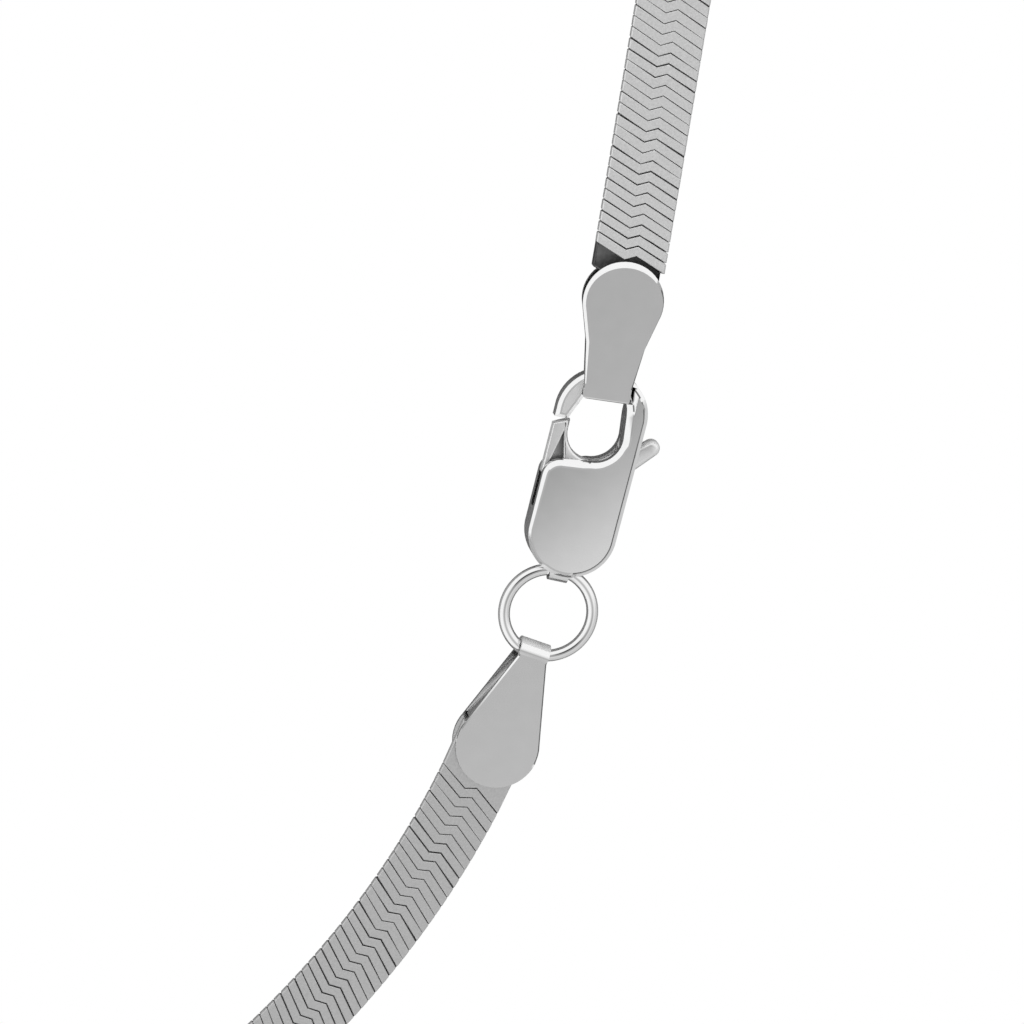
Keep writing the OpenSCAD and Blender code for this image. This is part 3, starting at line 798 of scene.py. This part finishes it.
def makeClaspBody():
    body = solidCopy("clasp_body", "claspBody", clasp["merge"])

    def spot(i):
        return body.data.vertices[i].co / mm

    # two corners are eased: where the plate's top line meets the eye, and on the hook
    for row in clasp["nudge"]:
        corner = [i for i in range(len(body.data.vertices)) if spot(i).z > row["above"]
                  and (spot(i).xy - Vector(row["at"])).length < row["reach"]]
        movePoints(body, corner, (*row["move"], 0))
    # a sloping rim round the whole face, with a step inside it on the side away from the light
    clearPoints(body)
    for face in body.data.polygons:
        face.select = (face.normal.z > clasp["slope"] and face.center.z / mm > clasp["above"]
                       and face.area > clasp["area"] * mm * mm)
    outline, rim = insetFaces(body, clasp["rim"])
    edge, inner = insetFaces(body, clasp["step"])
    print("  rim of", len(outline), "points, step of", len(rim), "and", len(edge),
          "face of", len(inner))
    # the inset lifts points where the hook's ramp starts, so they go back down to the face
    heights = {}
    for i in edge | inner:
        rise = spot(i).z - clasp["plateTop"]
        if rise > hair:
            heights.setdefault(round(rise, 3), []).append(i)
    for rise, indices in heights.items():
        movePoints(body, indices, (0, 0, -rise))
    movePoints(body, outline, (0, 0, -clasp["drop"]))
    facing = {}
    for face in body.data.polygons:
        around = set(face.vertices)
        if len(outline & around) > 1 and edge & around:
            for i in face.vertices:
                facing[i] = facing.get(i, Vector((0, 0, 0))) + face.normal
    levels = {}
    for i, normal in facing.items():
        away = max(0, min(1, normal.xy.normalized().dot(Vector(dimSide)) * clasp["dropGain"]))
        level = round(away * clasp["dropLevels"]) / clasp["dropLevels"]
        x, y, z = spot(i)
        onHook = y > clasp["hookFrom"] and x < clasp["hookTo"]
        onTail = y < clasp["tailFrom"] and x < clasp["tailTo"]
        if level and not onHook and not onTail:
            down = level * clasp["stepDrop" if i in edge else "farDrop"]
            levels.setdefault(down, []).append(i)
    for down, indices in levels.items():
        movePoints(body, indices, (0, 0, -down))
    # the rim is wider along the plate's top line and the shank, and narrower at the lower left
    shifts = {}
    for i in edge | inner:
        x, y, z = spot(i)
        for row in clasp["widen"]:
            if row["low"][0] < x < row["high"][0] and row["low"][1] < y < row["high"][1]:
                shifts.setdefault(row["move"], []).append(i)
                break
    for move, indices in shifts.items():
        movePoints(body, indices, (*move, 0))
    # the step's faces on the side away from the light take the dark painted shade
    body.data.materials.clear()
    for material in (polished, softPolish, domed, darkShadeSilver):
        body.data.materials.append(material)
    for face in body.data.polygons:
        around = set(face.vertices)
        onFace = around <= inner
        onHook = onFace and abs(face.center.z / mm - clasp["hookTop"]) < clasp["hookNear"]
        inStep = (len(around & edge) == 2 and len(around & inner) == 2
                  and face.normal.z < clasp["stepSlope"])
        face.material_index = 1 if onHook else 2 if onFace else 3 if inStep else 0

    def soften(ends, middle):
        # no hard lines where the shank runs into the hook behind the cap
        fromX, fromY = clasp["softFrom"]
        return set(ends) <= inner | edge and middle.x > fromX and middle.y > fromY

    smoothFaces(body, clasp["smooth"], soften)
    return body


lever = {"top": 1.48, "topNear": 0.02, "flat": 0.9, "eye": (-0.09, 6.85), "eyeReach": 1.9,
         "thumbFrom": 1.5, "thumbEdge": 0.34, "gateFrom": 4.4, "gateEdge": 0.1,
         "gateInside": 0.22, "segments": 3, "hollow": (1.1, 1.45), "wallSlope": 0.5}


def leverEdge(middle, upper, other):
    # the thumb tab is rounded most, then the gate's side towards the eye
    if abs(middle.z - lever["top"]) > lever["topNear"] or upper.z < lever["flat"]:
        return 0
    if middle.x > lever["thumbFrom"]:
        return lever["thumbEdge"]
    if middle.y < lever["gateFrom"]:
        return 0
    inside = (middle.xy - Vector(lever["eye"])).length < lever["eyeReach"]
    return lever["gateInside"] if inside else lever["gateEdge"]


def makeClaspLever():
    piece = solidCopy("clasp_lever", "claspLever", whole=False)
    piece.data.materials.clear()
    for material in (softPolish, hollowShadeSilver, matteSilver):
        piece.data.materials.append(material)
    # the hollow's floor takes painted shade, dark and falling to near black towards one side
    low, high = lever["hollow"]
    for face in piece.data.polygons:
        inHollow = low < face.center.z / mm < high and face.normal.z > lever["flat"]
        onWall = abs(face.normal.z) < lever["wallSlope"]
        face.material_index = 1 if inHollow else 2 if onWall else 0
    roundEdges(piece, leverEdge, lever["segments"])
    smoothFaces(piece)
    return piece


def makeRing():
    values = {"centre": (-0.13, -5.79425), "height": 1.1, "radius": 2.99, "wire": 0.4,
              "sides": 28, "steps": 120}
    (x, y), z = values["centre"], values["height"]
    clearSelection()
    bpy.ops.mesh.primitive_circle_add(vertices=values["sides"], radius=values["wire"] * mm,
                                      rotation=(math.radians(90), 0, 0),
                                      location=((x + values["radius"]) * mm, y * mm, z * mm))
    ring = bpy.context.object
    ring.name = "jumpRing"
    placeInMesh(ring)
    bpy.ops.object.mode_set(mode="EDIT")
    bpy.ops.mesh.select_all(action="SELECT")
    bpy.ops.mesh.spin(steps=values["steps"], angle=math.radians(360), axis=(0, 0, 1),
                      center=(x * mm, y * mm, z * mm))
    bpy.ops.mesh.select_all(action="SELECT")
    bpy.ops.mesh.remove_doubles(threshold=hair * mm)
    bpy.ops.mesh.normals_make_consistent(inside=False)
    bpy.ops.object.mode_set(mode="OBJECT")
    bpy.ops.object.shade_smooth()
    return ring


finish(makeChain(), None, "necklace", "woven_silver", "chain_band")
# the filling and the tongue in the lower cap's gap take dark painted shade
finish(makeUnder(), underShadeSilver, "necklace", "woven_silver")
finish(makeTongue(capLower), hollowShadeSilver, "necklace", "woven_silver")
finish(makeCap("end_cap_upper", "capUpper", capUpper), None, "necklace", "polished_silver",
       "end_cap_upper")
finish(makeCap("end_cap_lower", "capLower", capLower), None, "necklace", "polished_silver",
       "end_cap_lower")
finish(makeClaspBody(), None, "necklace", "polished_silver", "clasp_body")
finish(makeClaspLever(), None, "lever", "polished_silver", "clasp_lever")
finish(makeRing(), polished, "necklace", "polished_silver", "jump_ring")


def makeFloor():
    # the camera sees plain white, and the metal's walls mirror a painted contact shade, the floor
    # darker where it is occluded near the metal
    values = {"size": 3, "at": (-0.06, 0, 0), "rough": 0.9, "reach": 8 * mm, "samples": 8,
              "tones": ((0.6, 0.21), (0.98, 0.5))}
    clearSelection()
    bpy.ops.mesh.primitive_plane_add(size=values["size"], location=values["at"])
    floor = bpy.context.object
    floor.name = "paleFloor"
    placeInMesh(floor)
    material, nodes, wires = newMaterial("paleFloor")
    shader = nodes["Principled BSDF"]
    shader.inputs["Roughness"].default_value = values["rough"]
    # painted contact shade: the floor's colour darkens with ambient occlusion near the metal
    near = nodes.new("ShaderNodeAmbientOcclusion")
    near.inputs["Distance"].default_value = values["reach"]
    near.samples = values["samples"]
    dim = nodes.new("ShaderNodeValToRGB")
    for element, (at, tone) in zip(dim.color_ramp.elements, values["tones"]):
        element.position = at
        element.color = (tone, tone, tone, 1)
    wires.new(near.outputs["AO"], dim.inputs["Fac"])
    wires.new(dim.outputs["Color"], shader.inputs["Base Color"])
    glow = nodes.new("ShaderNodeEmission")
    eye = nodes.new("ShaderNodeLightPath")
    mix = nodes.new("ShaderNodeMixShader")
    wires.new(eye.outputs["Is Camera Ray"], mix.inputs["Fac"])
    wires.new(shader.outputs["BSDF"], mix.inputs[1])
    wires.new(glow.outputs["Emission"], mix.inputs[2])
    wires.new(mix.outputs["Shader"], nodes["Material Output"].inputs["Surface"])
    floor.data.materials.append(material)


def makeWorld():
    # a bright tent, dimmer on one side, with a grey card overhead and the dark lens beside it;
    # the tones are the card's, by degrees from its middle
    tent = {"card": (-0.011, -0.024, 0.99),
            "tones": ((0, 0.345), (12, 0.395), (17, 0.51), (25, 0.74), (38, 1.0)),
            "dimFrom": 0.36, "dimTo": 0.72, "dim": 0.64,
            "lens": (-0.189, 0.2, 0.961), "lensInner": 9, "lensOuter": 15, "lensTone": 0.1}
    world = bpy.data.worlds.new("studio")
    bpy.context.scene.world = world
    world.use_nodes = True
    nodes, wires = world.node_tree.nodes, world.node_tree.links
    place = nodes.new("ShaderNodeTexCoord")

    def toward(direction):
        dot = nodes.new("ShaderNodeVectorMath")
        dot.operation = "DOT_PRODUCT"
        dot.inputs[1].default_value = Vector(direction).normalized()
        wires.new(place.outputs["Generated"], dot.inputs[0])
        return dot.outputs["Value"]

    def spread(value, low, high, start, end):
        change = nodes.new("ShaderNodeMapRange")
        change.interpolation_type = "SMOOTHSTEP"
        for socket, number in (("From Min", low), ("From Max", high), ("To Min", start),
                               ("To Max", end)):
            change.inputs[socket].default_value = number
        wires.new(value, change.inputs["Value"])
        return change.outputs["Result"]

    def product(first, second):
        both = nodes.new("ShaderNodeMath")
        both.operation = "MULTIPLY"
        wires.new(first, both.inputs[0])
        wires.new(second, both.inputs[1])
        return both.outputs[0]

    angle = nodes.new("ShaderNodeMath")
    angle.operation = "ARCCOSINE"
    wires.new(toward(tent["card"]), angle.inputs[0])
    share = nodes.new("ShaderNodeMath")
    share.operation = "MULTIPLY"
    share.inputs[1].default_value = 2 / math.pi  # the ramp runs over 90 degrees
    wires.new(angle.outputs[0], share.inputs[0])
    ramp = nodes.new("ShaderNodeValToRGB")
    band = ramp.color_ramp.elements
    while len(band) < len(tent["tones"]):
        band.new(0.5)
    for element, (at, tone) in zip(band, tent["tones"]):
        element.position = at / 90
        element.color = (tone, tone, tone, 1)
    wires.new(share.outputs[0], ramp.inputs["Fac"])
    side = spread(toward((*dimSide, 0)), tent["dimFrom"], tent["dimTo"], 1, tent["dim"])
    lens = spread(toward(tent["lens"]), math.cos(math.radians(tent["lensOuter"])),
                  math.cos(math.radians(tent["lensInner"])), 1, tent["lensTone"])
    light = nodes["Background"]
    light.inputs["Color"].default_value = (1, 1, 1, 1)
    wires.new(product(ramp.outputs["Color"], product(side, lens)), light.inputs["Strength"])


makeFloor()
makeWorld()
print("floor and light done")
bpy.context.scene.view_settings.view_transform = "Standard"
